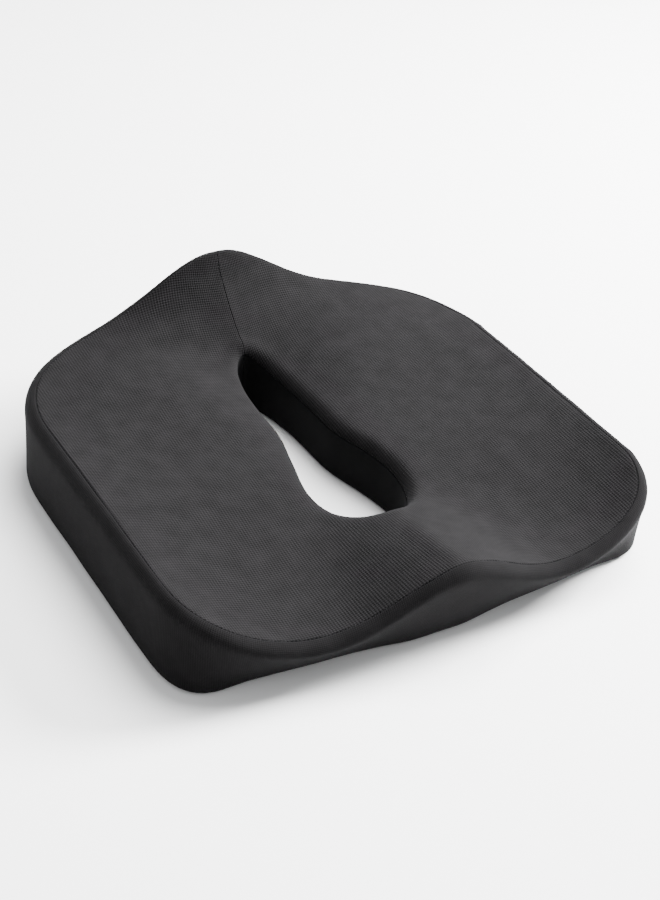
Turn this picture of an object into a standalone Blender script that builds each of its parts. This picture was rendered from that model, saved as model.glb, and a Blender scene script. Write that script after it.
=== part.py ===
# Contoured memory-foam seat cushion with a through hole and a zipped, removable knit cover.
# Metres, +Z up. The front (the hump between the thighs) is at -Y, the sitter's right is at -X.
# The origin is at the middle of the underside.

import math

import bmesh
import bpy
from mathutils import Matrix, Vector

# Plan outline of the finished cushion
FRONT_HALF_WIDTH = 0.228
REAR_HALF_WIDTH = 0.2232
BODY_DEPTH = 0.3965  # front edge to rear edge, without the bulges at the middle
FRONT_ROUNDNESS = 3.35  # superellipse exponents: larger is squarer
REAR_ROUNDNESS = 5.6
WAIST = 0.0096  # how far the sides draw in at the middle
FRONT_BULGE = 0.0074
FRONT_BULGE_WIDTH = 0.106
REAR_BOW = 0.0060
NOSE = 0.0050  # the rear ridge stands proud of the rear edge
NOSE_WIDTH = 0.0565
NOSE_FOOT = 0.0097

# How far the base is drawn in from the outline
BASE_INSET_FRONT = 0.0048
BASE_INSET_REAR = 0.0253
BASE_INSET_REAR_CORNER = -0.0081

# Heights of the top at the front edge, the middle and the rear edge
CENTRE_HEIGHT = {"front": 0.1333, "middle": 0.0485, "rear": 0.0763}
LOBE_HEIGHT = {"front": 0.0806, "middle": 0.0560, "rear": 0.0333}
SIDE_HEIGHT = {"front": 0.0671, "middle": 0.0807, "rear": 0.0886}
RIDGE_WIDTH = {"front": 0.0797, "middle": 0.0270, "rear": 0.0685}
HUMP_RISE = 4.8  # how late the hump and the rear ridge rise from the middle
RIDGE_RISE = 1.2
DISH = 3.1  # how late the seat rises to its sides
REACH = 1.1  # the height formulas are held beyond this share of the half depth

# The through hole: wide at the rear, narrow at the front
HOLE_FRONT_Y = -0.1367
HOLE_REAR_Y = 0.1019
HOLE_FRONT_HALF_WIDTH = 0.0221
HOLE_REAR_HALF_WIDTH = 0.0482
HOLE_NECK_Y = 0.0195
HOLE_NECK_LENGTH = 0.1152
HOLE_ROUNDNESS = 2.3

# Edge radii of the finished cushion
SHOULDER_RADIUS = 0.0097
RIM_RADIUS = 0.0103
BASE_EDGE_RADIUS = 0.007
TUNNEL_FOOT_RADIUS = 0.004

# Cover
CLOTH = 0.0012
FIT_GAP = 0.0003  # between pieces that touch
SEAM_GAP = 0.0003  # between panels that are sewn together

# Zip in the right-hand side wall: a no. 5 coil zip
ZIP_FRONT_Y = -0.084
ZIP_REAR_Y = 0.132
ZIP_HEIGHT = 0.036
TAPE_WIDTH = 0.0135
TAPE_THICKNESS = 0.0006
COIL_WIDTH = 0.0022
COIL_THICKNESS = 0.0022
STOP_LENGTH = 0.0026
TAPE_TAIL = 0.0015  # tape beyond each stop
SLIDER_LENGTH = 0.009
SLIDER_PLATE = 0.0009
SLIDER_FLANGE = 0.0008
POST_WIDTH = 0.0008
POST_LENGTH = 0.0020
BAIL_LENGTH = 0.0064
BAIL_WIDTH = 0.0020
BAIL_WIRE = 0.0011
PULL_THICKNESS = 0.0012
PULL_ARM = 0.0011
PULL_WIDTH = 0.0064
PULL_LENGTH = 0.0270
PULL_EYE_LENGTH = 0.0052
PULL_HOLE_RADIUS = 0.0011

# Mesh resolution
STATIONS = 64
RIM_STEPS = 3
SEAT_STEPS = 6
TIP_STEPS = 12
HOLE_STEPS = 16
MARGIN = 0.010  # how far cutters run past what they cut
WELD_DISTANCE = 0.00002

COLOURS = {  # linear RGB, roughness, metallic
    "knit_cloth": ((0.030, 0.030, 0.032), 0.92, 0.0),
    "lining_cloth": ((0.011, 0.011, 0.012), 0.85, 0.0),
    "nonslip_cloth": ((0.022, 0.022, 0.024), 0.80, 0.0),
    "memory_foam": ((0.80, 0.77, 0.68), 0.95, 0.0),
    "zip_tape": ((0.015, 0.015, 0.016), 0.90, 0.0),
    "nylon_coil": ((0.020, 0.020, 0.021), 0.40, 0.0),
    "zip_metal": ((0.060, 0.060, 0.062), 0.35, 1.0),
}


def finish(name):
    material = bpy.data.materials.get(name)
    if material is None:
        colour, roughness, metallic = COLOURS[name]
        material = bpy.data.materials.new(name)
        material.use_nodes = True
        shader = material.node_tree.nodes["Principled BSDF"]
        shader.inputs["Base Color"].default_value = (*colour, 1.0)
        shader.inputs["Roughness"].default_value = roughness
        shader.inputs["Metallic"].default_value = metallic
    return material


def new_object(name, mesh, collection, material=None):
    item = bpy.data.objects.new(name, mesh)
    collection.objects.link(item)
    if material:
        item.data.materials.append(finish(material))
    return item


def smooth(share):
    return share * share * (3 - 2 * share)


def blended(values, along):
    """The value at a share of the half depth: -1 is the front edge, 0 the middle, 1 the rear edge."""
    end = values["front"] if along < 0 else values["rear"]
    return values["middle"] + (end - values["middle"]) * smooth(min(abs(along), 1.0))


def half_width(y):
    share = y / BODY_DEPTH + 0.5
    return FRONT_HALF_WIDTH + (REAR_HALF_WIDTH - FRONT_HALF_WIDTH) * share


def top_height(x, y):
    along = max(-REACH, min(REACH, y / (BODY_DEPTH / 2)))
    end, rise = ("front", HUMP_RISE) if along < 0 else ("rear", RIDGE_RISE)
    middle = CENTRE_HEIGHT["middle"]
    centre = middle + (CENTRE_HEIGHT[end] - middle) * abs(along) ** rise
    lobe = blended(LOBE_HEIGHT, along)
    ridge = math.exp(-((x / blended(RIDGE_WIDTH, along)) ** 2))
    edge = min(abs(x) / half_width(y), REACH) ** DISH
    return lobe + (centre - lobe) * ridge + (blended(SIDE_HEIGHT, along) - lobe) * edge


def side_share(along):
    """How far out the superellipse reaches, as a share of the half width, at this share of the half depth."""
    roundness = FRONT_ROUNDNESS if along < 0 else REAR_ROUNDNESS
    return (1 - abs(along) ** roundness) ** (1 / roundness)


def side_reach(y):
    along = y / (BODY_DEPTH / 2)
    return side_share(along) * (half_width(y) - WAIST * (1 - along * along))


# The side walls are flat as far as the zip runs, because a zip is straight.
FLAT_RUN = (ZIP_FRONT_Y - FIT_GAP, ZIP_REAR_Y + FIT_GAP)
WALL_X = min(side_reach(y) for y in FLAT_RUN)


def superellipse(angle, roundness):
    """The point of a unit superellipse in this direction from its middle."""
    cosine = math.cos(angle)
    sine = math.sin(angle)
    reach = (abs(cosine) ** roundness + abs(sine) ** roundness) ** (-1 / roundness)
    return reach * cosine, reach * sine


def outline_point(angle, nose):
    roundness = FRONT_ROUNDNESS if math.sin(angle) < 0 else REAR_ROUNDNESS
    across, along = superellipse(angle, roundness)
    y = along * BODY_DEPTH / 2
    x = across * (half_width(y) - WAIST * (1 - along * along))
    if along < 0:
        y -= FRONT_BULGE * math.exp(-((x / FRONT_BULGE_WIDTH) ** 2)) * abs(along) ** 3
    else:
        y += REAR_BOW * (1 - across * across) * along**3
        y += nose * math.exp(-((x / NOSE_WIDTH) ** 2)) * along**3
    return Vector((max(-WALL_X, min(WALL_X, x)), y, 0.0))


def hole_point(angle):
    across, along = superellipse(angle, HOLE_ROUNDNESS)
    y = (HOLE_FRONT_Y + HOLE_REAR_Y) / 2 + (HOLE_REAR_Y - HOLE_FRONT_Y) / 2 * along
    share = (y - HOLE_NECK_Y + HOLE_NECK_LENGTH / 2) / HOLE_NECK_LENGTH
    share = smooth(max(0.0, min(1.0, share)))
    width = HOLE_FRONT_HALF_WIDTH + (HOLE_REAR_HALF_WIDTH - HOLE_FRONT_HALF_WIDTH) * share
    return Vector((width * across, y, 0.0))


def outward(loop):
    """Unit normals, in plan, of a closed loop that runs anticlockwise."""
    normals = []
    for index in range(len(loop)):
        tangent = loop[(index + 1) % len(loop)] - loop[index - 1]
        normals.append(Vector((tangent.y, -tangent.x, 0.0)).normalized())
    return normals


def on_top(point):
    return Vector((point.x, point.y, top_height(point.x, point.y)))


def rounded_corner(corner, first, second, radius):
    """Three points that round a corner between the directions to its two neighbours."""
    start = corner + (first - corner).normalized() * radius
    end = corner + (second - corner).normalized() * radius
    middle = corner + (start + end - 2 * corner) * (1 - math.sqrt(0.5))
    return [start, middle, end]


def station_angles():
    """Even steps round the cushion, but with a station at each end of the flat side walls."""
    angles = [2 * math.pi * index / STATIONS for index in range(STATIONS)]
    for y in FLAT_RUN:
        along = y / (BODY_DEPTH / 2)
        left = math.atan2(along, side_share(along)) % (2 * math.pi)
        right = (math.pi - left) % (2 * math.pi)
        for corner in (left, right):
            nearest = min(range(STATIONS), key=lambda index: abs(angles[index] - corner))
            angles[nearest] = corner
    return angles


def form_sections():
    """One closed section of the finished cushion for each station round the hole, and where its seams lie."""
    angles = station_angles()
    hole = [hole_point(angle) for angle in angles]
    edge = [outline_point(angle, NOSE) for angle in angles]
    foot = [outline_point(angle, NOSE_FOOT) for angle in angles]
    sections = []
    for lip, rim, brow, out, toe, lean in zip(
        hole, outward(hole), edge, outward(edge), foot, outward(foot)
    ):
        inset = lean.y**2 * (BASE_INSET_REAR if lean.y > 0 else BASE_INSET_FRONT)
        if lean.y > 0:
            inset += BASE_INSET_REAR_CORNER * (2 * lean.x * lean.y) ** 2
        toe = toe - lean * inset
        rim_centre = on_top(lip + rim * RIM_RADIUS)
        rim_centre.z -= RIM_RADIUS
        shoulder_centre = on_top(brow - out * SHOULDER_RADIUS)
        shoulder_radius = min(SHOULDER_RADIUS, shoulder_centre.z - BASE_EDGE_RADIUS)
        shoulder_centre.z -= shoulder_radius
        tunnel_foot = lip + rim * TUNNEL_FOOT_RADIUS
        points = rounded_corner(lip, tunnel_foot, on_top(lip), TUNNEL_FOOT_RADIUS)
        points.append(Vector((lip.x, lip.y, rim_centre.z / 2)))
        seams = {"foot": 0, "rim": len(points)}
        for step in range(RIM_STEPS + 1):
            turn = math.pi / 2 * step / RIM_STEPS
            points.append(
                rim_centre - rim * RIM_RADIUS * math.cos(turn) + Vector((0, 0, RIM_RADIUS * math.sin(turn)))
            )
        start = lip + rim * RIM_RADIUS
        end = brow - out * SHOULDER_RADIUS
        for step in range(1, SEAT_STEPS):
            points.append(on_top(start.lerp(end, step / SEAT_STEPS)))
        seams["shoulder"] = len(points)
        for step in range(RIM_STEPS + 1):
            turn = math.pi / 2 * (1 - step / RIM_STEPS)
            points.append(
                shoulder_centre
                + out * SHOULDER_RADIUS * math.cos(turn)
                + Vector((0, 0, shoulder_radius * math.sin(turn)))
            )
        wall_top = points[-1]
        points.append(wall_top.lerp(toe, 0.5))
        points += rounded_corner(toe, wall_top, lip, BASE_EDGE_RADIUS)
        seams["base"] = len(points) - 1
        points.append(points[-1].lerp(points[0], 0.5))
        sections.append(points)
    return sections, seams


def loft(name, sections, outer_count=None):
    """A closed ring solid through closed sections, each with the same number of points.

    A cloth panel's points run out along its face and back along its lining. The quads of the two sides are
    split along the same diagonal, so that layers over each other keep their distance where the form twists.
    """
    mesh = bpy.data.meshes.new(name)
    bm = bmesh.new()
    rows = [[bm.verts.new(point) for point in section] for section in sections]
    count = len(rows[0])
    for row, following in zip(rows, rows[1:] + rows[:1]):
        for index in range(count):
            after = (index + 1) % count
            if outer_count is None or index < outer_count:
                bm.faces.new((row[index], following[index], following[after]))
                bm.faces.new((row[index], following[after], row[after]))
            else:
                bm.faces.new((row[index], following[index], row[after]))
                bm.faces.new((following[index], following[after], row[after]))
    bmesh.ops.recalc_face_normals(bm, faces=bm.faces)
    bm.to_mesh(mesh)
    bm.free()
    mesh.shade_smooth()
    return mesh


class Form:
    """The outer surface of the finished cushion, from which each layer is set inwards."""

    def __init__(self):
        self.sections, self.seams = form_sections()
        mesh = loft("form", self.sections)
        normals = [vertex.normal.copy() for vertex in mesh.vertices]
        bpy.data.meshes.remove(mesh)
        count = len(self.sections[0])
        self.normals = [normals[start:start + count] for start in range(0, len(normals), count)]

    def at(self, station, index, depth):
        count = len(self.sections[station])
        return self.sections[station][index % count] - self.normals[station][index % count] * depth

    def core(self, name, depth):
        count = len(self.sections[0])
        return loft(name, [[self.at(s, i, depth) for i in range(count)] for s in range(STATIONS)])

    def panel(self, name, first, last):
        """A cloth panel between two seams, as thick as the cloth."""
        rings = range(first, last + 1)
        sections = []
        for station in range(STATIONS):
            outer = [self.at(station, ring, 0.0) for ring in rings]
            inner = [self.at(station, ring, CLOTH) for ring in rings]
            for layer in (outer, inner):
                layer[0] = layer[0] + (layer[1] - layer[0]).normalized() * SEAM_GAP / 2
                layer[-1] = layer[-1] + (layer[-2] - layer[-1]).normalized() * SEAM_GAP / 2
            sections.append(outer + inner[::-1])
        return loft(name, sections, len(rings))


def block(name, low, high):
    """A box between two corners, with its origin at the world's."""
    low = Vector(low)
    high = Vector(high)
    mesh = bpy.data.meshes.new(name)
    bm = bmesh.new()
    size = Matrix.Diagonal((*(high - low), 1.0))
    bmesh.ops.create_cube(bm, size=1.0, matrix=Matrix.Translation((low + high) / 2) @ size)
    bm.to_mesh(mesh)
    bm.free()
    return mesh


def zip_block(name, depths, along, heights):
    """A box in the right-hand wall: depth below the cloth's face, y, and height above the zip's middle."""
    low = (-WALL_X + depths[0], along[0], ZIP_HEIGHT + heights[0])
    high = (-WALL_X + depths[1], along[1], ZIP_HEIGHT + heights[1])
    return block(name, low, high)


def cut(item, name, mesh, cutters, operation="DIFFERENCE"):
    cutter = new_object(name, mesh, cutters)
    cutter.hide_render = True
    cutter.display_type = "WIRE"
    modifier = item.modifiers.new(name, "BOOLEAN")
    modifier.operation = operation
    modifier.solver = "EXACT"
    modifier.object = cutter


def set_origin(item, place):
    """Moves an object's origin without moving its mesh."""
    item.data.transform(Matrix.Translation(-Vector(place)))
    item.location = place


# Depths below the cloth's outer face in the zip, outwards being negative
TAPE_OUT = CLOTH + FIT_GAP
TAPE_IN = TAPE_OUT + TAPE_THICKNESS
COIL_IN = TAPE_OUT - FIT_GAP
COIL_OUT = COIL_IN - COIL_THICKNESS
PLATE_IN = TAPE_IN + FIT_GAP
PLATE_OUT = COIL_OUT - FIT_GAP
BAIL_BASE = PLATE_OUT - SLIDER_PLATE
PULL_AXIS_DEPTH = BAIL_BASE - FIT_GAP - PULL_THICKNESS / 2
BAIL_CLEAR = BAIL_BASE - PULL_THICKNESS - 2 * FIT_GAP

# Distances from the zip's middle line
POST_CLEAR = POST_WIDTH / 2 + FIT_GAP
COIL_EDGE = POST_CLEAR + COIL_WIDTH
FLANGE_EDGE = COIL_EDGE + FIT_GAP + SLIDER_FLANGE
SLIT_EDGE = FLANGE_EDGE + FIT_GAP
TAPE_EDGE = POST_CLEAR + TAPE_WIDTH

# Places along the zip
REAR_STOP = (ZIP_REAR_Y - TAPE_TAIL - STOP_LENGTH, ZIP_REAR_Y - TAPE_TAIL)
FRONT_STOP = (ZIP_FRONT_Y + TAPE_TAIL, ZIP_FRONT_Y + TAPE_TAIL + STOP_LENGTH)
COIL_RUN = (FRONT_STOP[1] + FIT_GAP, REAR_STOP[0] - FIT_GAP)
SLIDER_REAR = REAR_STOP[0] - FIT_GAP
SLIDER_RUN = (SLIDER_REAR - SLIDER_LENGTH, SLIDER_REAR)
SLIDER_MIDDLE = SLIDER_REAR - SLIDER_LENGTH / 2


def build_cover(form, parts, cutters):
    seams = form.seams
    count = len(form.sections[0])
    long = MARGIN + BODY_DEPTH
    tall = MARGIN + CENTRE_HEIGHT["front"]

    def sew(name, first, last, material):
        return new_object(name, form.panel(name, first, last), parts, material)

    top = sew("cover_top_panel", seams["rim"], seams["shoulder"], "knit_cloth")
    front_seam = ((-SEAM_GAP / 2, -long, -MARGIN), (SEAM_GAP / 2, HOLE_FRONT_Y + MARGIN, tall))
    cut(top, "centre_seam_cut", block("centre_seam_cut", *front_seam), cutters)

    lining = sew("cover_tunnel_lining", seams["foot"], seams["rim"], "lining_cloth")
    cut(lining, "lining_seam_cut", block("lining_seam_cut", *front_seam), cutters)

    sew("cover_base_panel", seams["base"], count, "nonslip_cloth")

    band = sew("cover_band", seams["shoulder"], seams["base"], "knit_cloth")
    beyond = -WALL_X - MARGIN
    inside = -WALL_X + SHOULDER_RADIUS + MARGIN
    window = block("zip_window_cut", (beyond, ZIP_FRONT_Y, -MARGIN), (inside, ZIP_REAR_Y, tall))
    cut(band, "zip_window_cut", window, cutters)
    strip_front = ZIP_FRONT_Y + SEAM_GAP
    strip_rear = ZIP_REAR_Y - SEAM_GAP
    strip_heights = {
        "cover_zip_strip_upper": (ZIP_HEIGHT + SLIT_EDGE, tall),
        "cover_zip_strip_lower": (-MARGIN, ZIP_HEIGHT - SLIT_EDGE),
    }
    for name, (low, high) in strip_heights.items():
        strip = sew(name, seams["shoulder"], seams["base"], "knit_cloth")
        keep = block(name + "_limit", (beyond, strip_front, low), (inside, strip_rear, high))
        cut(strip, name + "_limit", keep, cutters, "INTERSECT")


def build_foam(form, parts, cutters):
    foam = new_object("foam_core", form.core("foam_core", CLOTH + FIT_GAP), parts, "memory_foam")
    tape_zone = TAPE_EDGE + FIT_GAP
    tape_depths = (-MARGIN, TAPE_IN + FIT_GAP)
    tape_relief = zip_block("tape_relief_cut", tape_depths, FLAT_RUN, (-tape_zone, tape_zone))
    cut(foam, "tape_relief_cut", tape_relief, cutters)
    plate_zone = FLANGE_EDGE + FIT_GAP
    plate_depths = (-MARGIN, PLATE_IN + SLIDER_PLATE + FIT_GAP)
    slider_relief = zip_block("slider_relief_cut", plate_depths, FLAT_RUN, (-plate_zone, plate_zone))
    cut(foam, "slider_relief_cut", slider_relief, cutters)


def build_zip(parts):
    for name, side in (("upper", 1), ("lower", -1)):
        tape_heights = sorted((side * POST_CLEAR, side * TAPE_EDGE))
        tape_run = (ZIP_FRONT_Y + SEAM_GAP, ZIP_REAR_Y - SEAM_GAP)
        tape = zip_block("zip_tape_" + name, (TAPE_OUT, TAPE_IN), tape_run, tape_heights)
        new_object("zip_tape_" + name, tape, parts, "zip_tape")
        coil_heights = sorted((side * POST_CLEAR, side * COIL_EDGE))
        coil = zip_block("zip_coil_" + name, (COIL_OUT, COIL_IN), COIL_RUN, coil_heights)
        new_object("zip_coil_" + name, coil, parts, "nylon_coil")
        stop = zip_block("zip_stop_rear_" + name, (COIL_OUT, COIL_IN), REAR_STOP, coil_heights)
        new_object("zip_stop_rear_" + name, stop, parts, "zip_metal")
    stop = zip_block("zip_stop_front", (COIL_OUT, COIL_IN), FRONT_STOP, (-COIL_EDGE, COIL_EDGE))
    new_object("zip_stop_front", stop, parts, "zip_metal")


def build_slider(parts, cutters):
    """Two plates joined by a post at the mouth, with a bail on the outer one."""
    depths = (BAIL_BASE, PLATE_IN + SLIDER_PLATE)
    body = zip_block("zip_slider", depths, SLIDER_RUN, (-FLANGE_EDGE, FLANGE_EDGE))
    slider = new_object("zip_slider", body, parts, "zip_metal")
    post_start = SLIDER_REAR - POST_LENGTH
    past = (SLIDER_RUN[0] - MARGIN, SLIDER_REAR + MARGIN)
    channel = COIL_EDGE + FIT_GAP
    wide = FLANGE_EDGE + MARGIN
    hollows = {
        "slider_throat_cut": ((PLATE_OUT, PLATE_IN), (past[0], post_start), (-channel, channel)),
        "slider_upper_channel_cut": ((PLATE_OUT, PLATE_IN), past, (POST_WIDTH / 2, channel)),
        "slider_lower_channel_cut": ((PLATE_OUT, PLATE_IN), past, (-channel, -POST_WIDTH / 2)),
        "slider_upper_slot_cut": ((COIL_IN, PLATE_IN), past, (POST_WIDTH / 2, wide)),
        "slider_lower_slot_cut": ((COIL_IN, PLATE_IN), past, (-wide, -POST_WIDTH / 2)),
    }
    for name, box in hollows.items():
        cut(slider, name, zip_block(name, *box), cutters)
    bail_run = (SLIDER_MIDDLE - BAIL_LENGTH / 2, SLIDER_MIDDLE + BAIL_LENGTH / 2)
    bail_heights = (-BAIL_WIDTH / 2, BAIL_WIDTH / 2)
    rooted = BAIL_BASE + SLIDER_PLATE / 2
    bail = zip_block("slider_bail_add", (BAIL_CLEAR - BAIL_WIRE, rooted), bail_run, bail_heights)
    cut(slider, "slider_bail_add", bail, cutters, "UNION")
    eye_run = (bail_run[0] + BAIL_WIRE, bail_run[1] - BAIL_WIRE)
    eye = zip_block("slider_bail_eye_cut", (BAIL_CLEAR, BAIL_BASE), eye_run, (-wide, wide))
    cut(slider, "slider_bail_eye_cut", eye, cutters)
    set_origin(slider, (-WALL_X, SLIDER_MIDDLE, ZIP_HEIGHT))


def build_pull(parts, cutters):
    """A flat tab; its end bar lies in the slider's bail and is the hinge."""
    bar = PULL_THICKNESS / 2
    axis_x = -WALL_X + PULL_AXIS_DEPTH
    half = PULL_WIDTH / 2
    outline = bpy.data.curves.new("zip_pull", "CURVE")
    outline.dimensions = "2D"
    outline.fill_mode = "BOTH"
    outline.extrude = PULL_THICKNESS / 2
    rounding = [math.pi * step / TIP_STEPS for step in range(TIP_STEPS + 1)]
    tip = -PULL_LENGTH + bar + half
    points = [(half, bar), (-half, bar)]
    points += [(-half * math.cos(turn), tip - half * math.sin(turn)) for turn in rounding]
    eye_half = half - PULL_ARM
    eye_end = -bar - PULL_EYE_LENGTH
    eye = [(-eye_half, -bar), (eye_half, -bar), (eye_half, eye_end), (-eye_half, eye_end)]
    ring = [2 * math.pi * step / HOLE_STEPS for step in range(HOLE_STEPS)]
    hole = [(PULL_HOLE_RADIUS * math.cos(turn), tip + PULL_HOLE_RADIUS * math.sin(turn)) for turn in ring]
    for loop in (points, eye, hole):
        spline = outline.splines.new("POLY")
        spline.points.add(len(loop) - 1)
        for point, (across, along) in zip(spline.points, loop):
            point.co = (across, along, 0.0, 1.0)
        spline.use_cyclic_u = True
    pull = new_object("zip_pull", outline, parts, "zip_metal")
    weld = pull.modifiers.new("weld", "WELD")
    weld.merge_threshold = WELD_DISTANCE
    pull.rotation_euler = (0.0, math.pi / 2, 0.0)
    pull.location = (axis_x, SLIDER_MIDDLE, ZIP_HEIGHT)


def main():
    for item in list(bpy.data.objects):
        bpy.data.objects.remove(item, do_unlink=True)
    parts = bpy.data.collections.new("seat_cushion")
    cutters = bpy.data.collections.new("cutters")
    bpy.context.scene.collection.children.link(parts)
    bpy.context.scene.collection.children.link(cutters)
    form = Form()
    build_foam(form, parts, cutters)
    build_cover(form, parts, cutters)
    build_zip(parts)
    build_slider(parts, cutters)
    build_pull(parts, cutters)


main()
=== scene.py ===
# Contoured memory-foam seat cushion with a pear-shaped through hole, in a zipped charcoal knit cover.
# Metres, +Z up, front at -Y, the zip in the -X side wall.
import math

import bmesh
import bpy
import numpy as np
from mathutils import Matrix, Vector, noise


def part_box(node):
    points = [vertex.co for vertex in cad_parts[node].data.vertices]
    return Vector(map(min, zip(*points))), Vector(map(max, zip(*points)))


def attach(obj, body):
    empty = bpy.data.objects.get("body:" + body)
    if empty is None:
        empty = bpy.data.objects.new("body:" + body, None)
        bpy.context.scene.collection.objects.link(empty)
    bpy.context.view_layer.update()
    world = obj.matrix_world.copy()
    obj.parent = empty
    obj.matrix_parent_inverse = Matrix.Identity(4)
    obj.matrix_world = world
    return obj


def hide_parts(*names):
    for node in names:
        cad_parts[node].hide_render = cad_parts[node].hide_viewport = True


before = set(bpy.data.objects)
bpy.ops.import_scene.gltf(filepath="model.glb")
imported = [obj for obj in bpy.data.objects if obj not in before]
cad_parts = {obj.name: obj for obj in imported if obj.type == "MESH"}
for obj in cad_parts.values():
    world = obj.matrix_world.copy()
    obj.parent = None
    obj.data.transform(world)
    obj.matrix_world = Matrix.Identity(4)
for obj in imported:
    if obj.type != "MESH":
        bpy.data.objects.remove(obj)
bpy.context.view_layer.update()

wallX = -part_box("cover_band")[0].x  # the flat of the side walls
coilBoxes = [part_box("zip_coil_lower"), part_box("zip_coil_upper")]
zipHeight = (coilBoxes[0][0].z + coilBoxes[1][1].z) / 2
slitEdges = [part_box("cover_zip_strip_lower")[1].z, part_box("cover_zip_strip_upper")[0].z]
stripEnds = [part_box("cover_zip_strip_lower")[0].y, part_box("cover_zip_strip_lower")[1].y]


def linear(hexColour):  # sRGB hex to linear RGBA
    channels = [int(hexColour[place:place + 2], 16) / 255 for place in (1, 3, 5)]
    return (*[c / 12.92 if c <= 0.04045 else ((c + 0.055) / 1.055) ** 2.4 for c in channels], 1.0)


def addNode(tree, kind, settings={}, inputs={}):
    node = tree.nodes.new("ShaderNode" + kind)
    for name, value in settings.items():
        setattr(node, name, value)
    for name, value in inputs.items():
        if isinstance(value, bpy.types.NodeSocket):
            tree.links.new(value, node.inputs[name])
        else:
            node.inputs[name].default_value = value
    return node


def newMaterial(name):
    material = bpy.data.materials.new(name)
    material.use_nodes = True
    return material, material.node_tree, material.node_tree.nodes["Principled BSDF"]


def setShader(tree, shader, values):
    for name, value in values.items():
        if isinstance(value, bpy.types.NodeSocket):
            tree.links.new(value, shader.inputs[name])
        else:
            shader.inputs[name].default_value = value


def mixed(tree, factor, first, second):
    ramp = addNode(tree, "ValToRGB", inputs={"Fac": factor})
    ramp.color_ramp.elements[0].color = linear(first)
    ramp.color_ramp.elements[1].color = linear(second)
    return ramp.outputs["Color"]


def calc(tree, operation, first, second=0.0, third=0.0):
    node = addNode(tree, "Math", {"operation": operation}, {0: first, 1: second, 2: third})
    return node.outputs[0]


def knitHeight(tree, wale, course):
    # a pique knit: tuck stitches stand as small staggered dots, uneven from one to the next
    cloth = addNode(tree, "UVMap", {"uv_map": "cloth"})
    place = {"Vector": cloth.outputs["UV"], "Scale": 0.3 / wale, "Detail": 3.0}
    uneven = addNode(tree, "TexNoise", inputs=place)
    across = addNode(tree, "SeparateXYZ", inputs={0: cloth.outputs["UV"]})
    ribs = calc(tree, "MULTIPLY", across.outputs["X"], math.pi / wale)
    rows = calc(tree, "MULTIPLY", across.outputs["Y"], math.pi / course)
    rising = calc(tree, "SINE", calc(tree, "ADD", ribs, rows))
    falling = calc(tree, "SINE", calc(tree, "SUBTRACT", ribs, rows))
    dots = calc(tree, "MULTIPLY", rising, falling)
    return calc(tree, "MULTIPLY_ADD", dots, uneven.outputs[0], 0.5)


knit = {
    "wale": 0.0023,  # dot to dot, drawn coarser than real stitches, which are too fine to show
    "course": 0.0020,
    "loopDepth": 0.0004,
    # groove: the colour between the dots, darkened as painted shade; crest: the colour of the dots' tops
    "groove": "#040404",
    "crest": "#191819",
    "sheen": 0.035,
}


def knitCloth(name, look):
    # polyester weft knit: matt, with a slight fuzz that lightens at grazing angles
    material, tree, shader = newMaterial(name)
    cloth = addNode(tree, "UVMap", {"uv_map": "cloth"})
    height = knitHeight(tree, look["wale"], look["course"])
    flat = cloth.outputs["UV"]
    fuzz = addNode(tree, "TexNoise", inputs={"Vector": flat, "Scale": 900.0, "Detail": 3.0})
    heather = addNode(tree, "TexNoise", inputs={"Vector": flat, "Scale": 60.0, "Detail": 4.0})
    # the colour follows the dots' height and the fuzz, so the low places get painted shade; the heather
    # mottling is the yarn's own tone
    tone = calc(tree, "MULTIPLY_ADD", fuzz.outputs[0], 0.5, height)
    tone = calc(tree, "ADD", tone, calc(tree, "MULTIPLY_ADD", heather.outputs[0], 0.6, -0.55))
    relief = calc(tree, "ADD", height, calc(tree, "MULTIPLY", fuzz.outputs[0], 0.5))
    bump = addNode(tree, "Bump", inputs={
        "Height": relief, "Distance": look["loopDepth"], "Strength": 0.8,
    })
    setShader(tree, shader, {
        "Base Color": mixed(tree, tone, look["groove"], look["crest"]),
        "Roughness": 0.93,
        "Specular IOR Level": 0.05,
        "Sheen Weight": look["sheen"],
        "Sheen Roughness": 0.4,
        "Sheen Tint": linear("#c8c8cc"),
        "Normal": bump.outputs[0],
    })
    return material


# the side band and the zip strips are the same charcoal knit as the top; their darker groove and crest
# colours and lower sheen are painted shade for walls that face away from the lamps
bandKnitPaintedShade = {
    "wale": 0.0016,
    "course": 0.0014,
    "loopDepth": 0.0002,
    "groove": "#030303",
    "crest": "#141314",
    "sheen": 0.03,
}
lining = {
    "wale": 0.0012,
    "course": 0.0012,
    "loopDepth": 0.00012,
    "groove": "#040404",
    "crest": "#101011",
    "sheen": 0.03,
}
tricot = {
    "wale": 0.0016,
    "course": 0.0016,
    "loopDepth": 0.0002,
    "groove": "#090909",
    "crest": "#1a1a1b",
    "sheen": 0.05,
}


def memoryFoam():
    # moulded slow-recovery foam: chalky, with fine open cells and a faint yellow cast
    material, tree, shader = newMaterial("memoryFoam")
    place = addNode(tree, "TexCoord").outputs["Object"]
    cells = addNode(tree, "TexVoronoi", inputs={"Vector": place, "Scale": 900.0})
    clouds = addNode(tree, "TexNoise", inputs={"Vector": place, "Scale": 14.0, "Detail": 3.0})
    bump = addNode(tree, "Bump", inputs={
        "Height": cells.outputs["Distance"], "Distance": 0.0003, "Strength": 0.6,
    })
    setShader(tree, shader, {
        "Base Color": mixed(tree, clouds.outputs[0], "#e6dfc8", "#f1ecdc"),
        "Roughness": 0.95,
        "Subsurface Weight": 0.1,
        "Subsurface Radius": (0.004, 0.003, 0.002),
        "Normal": bump.outputs[0],
    })
    return material


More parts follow.
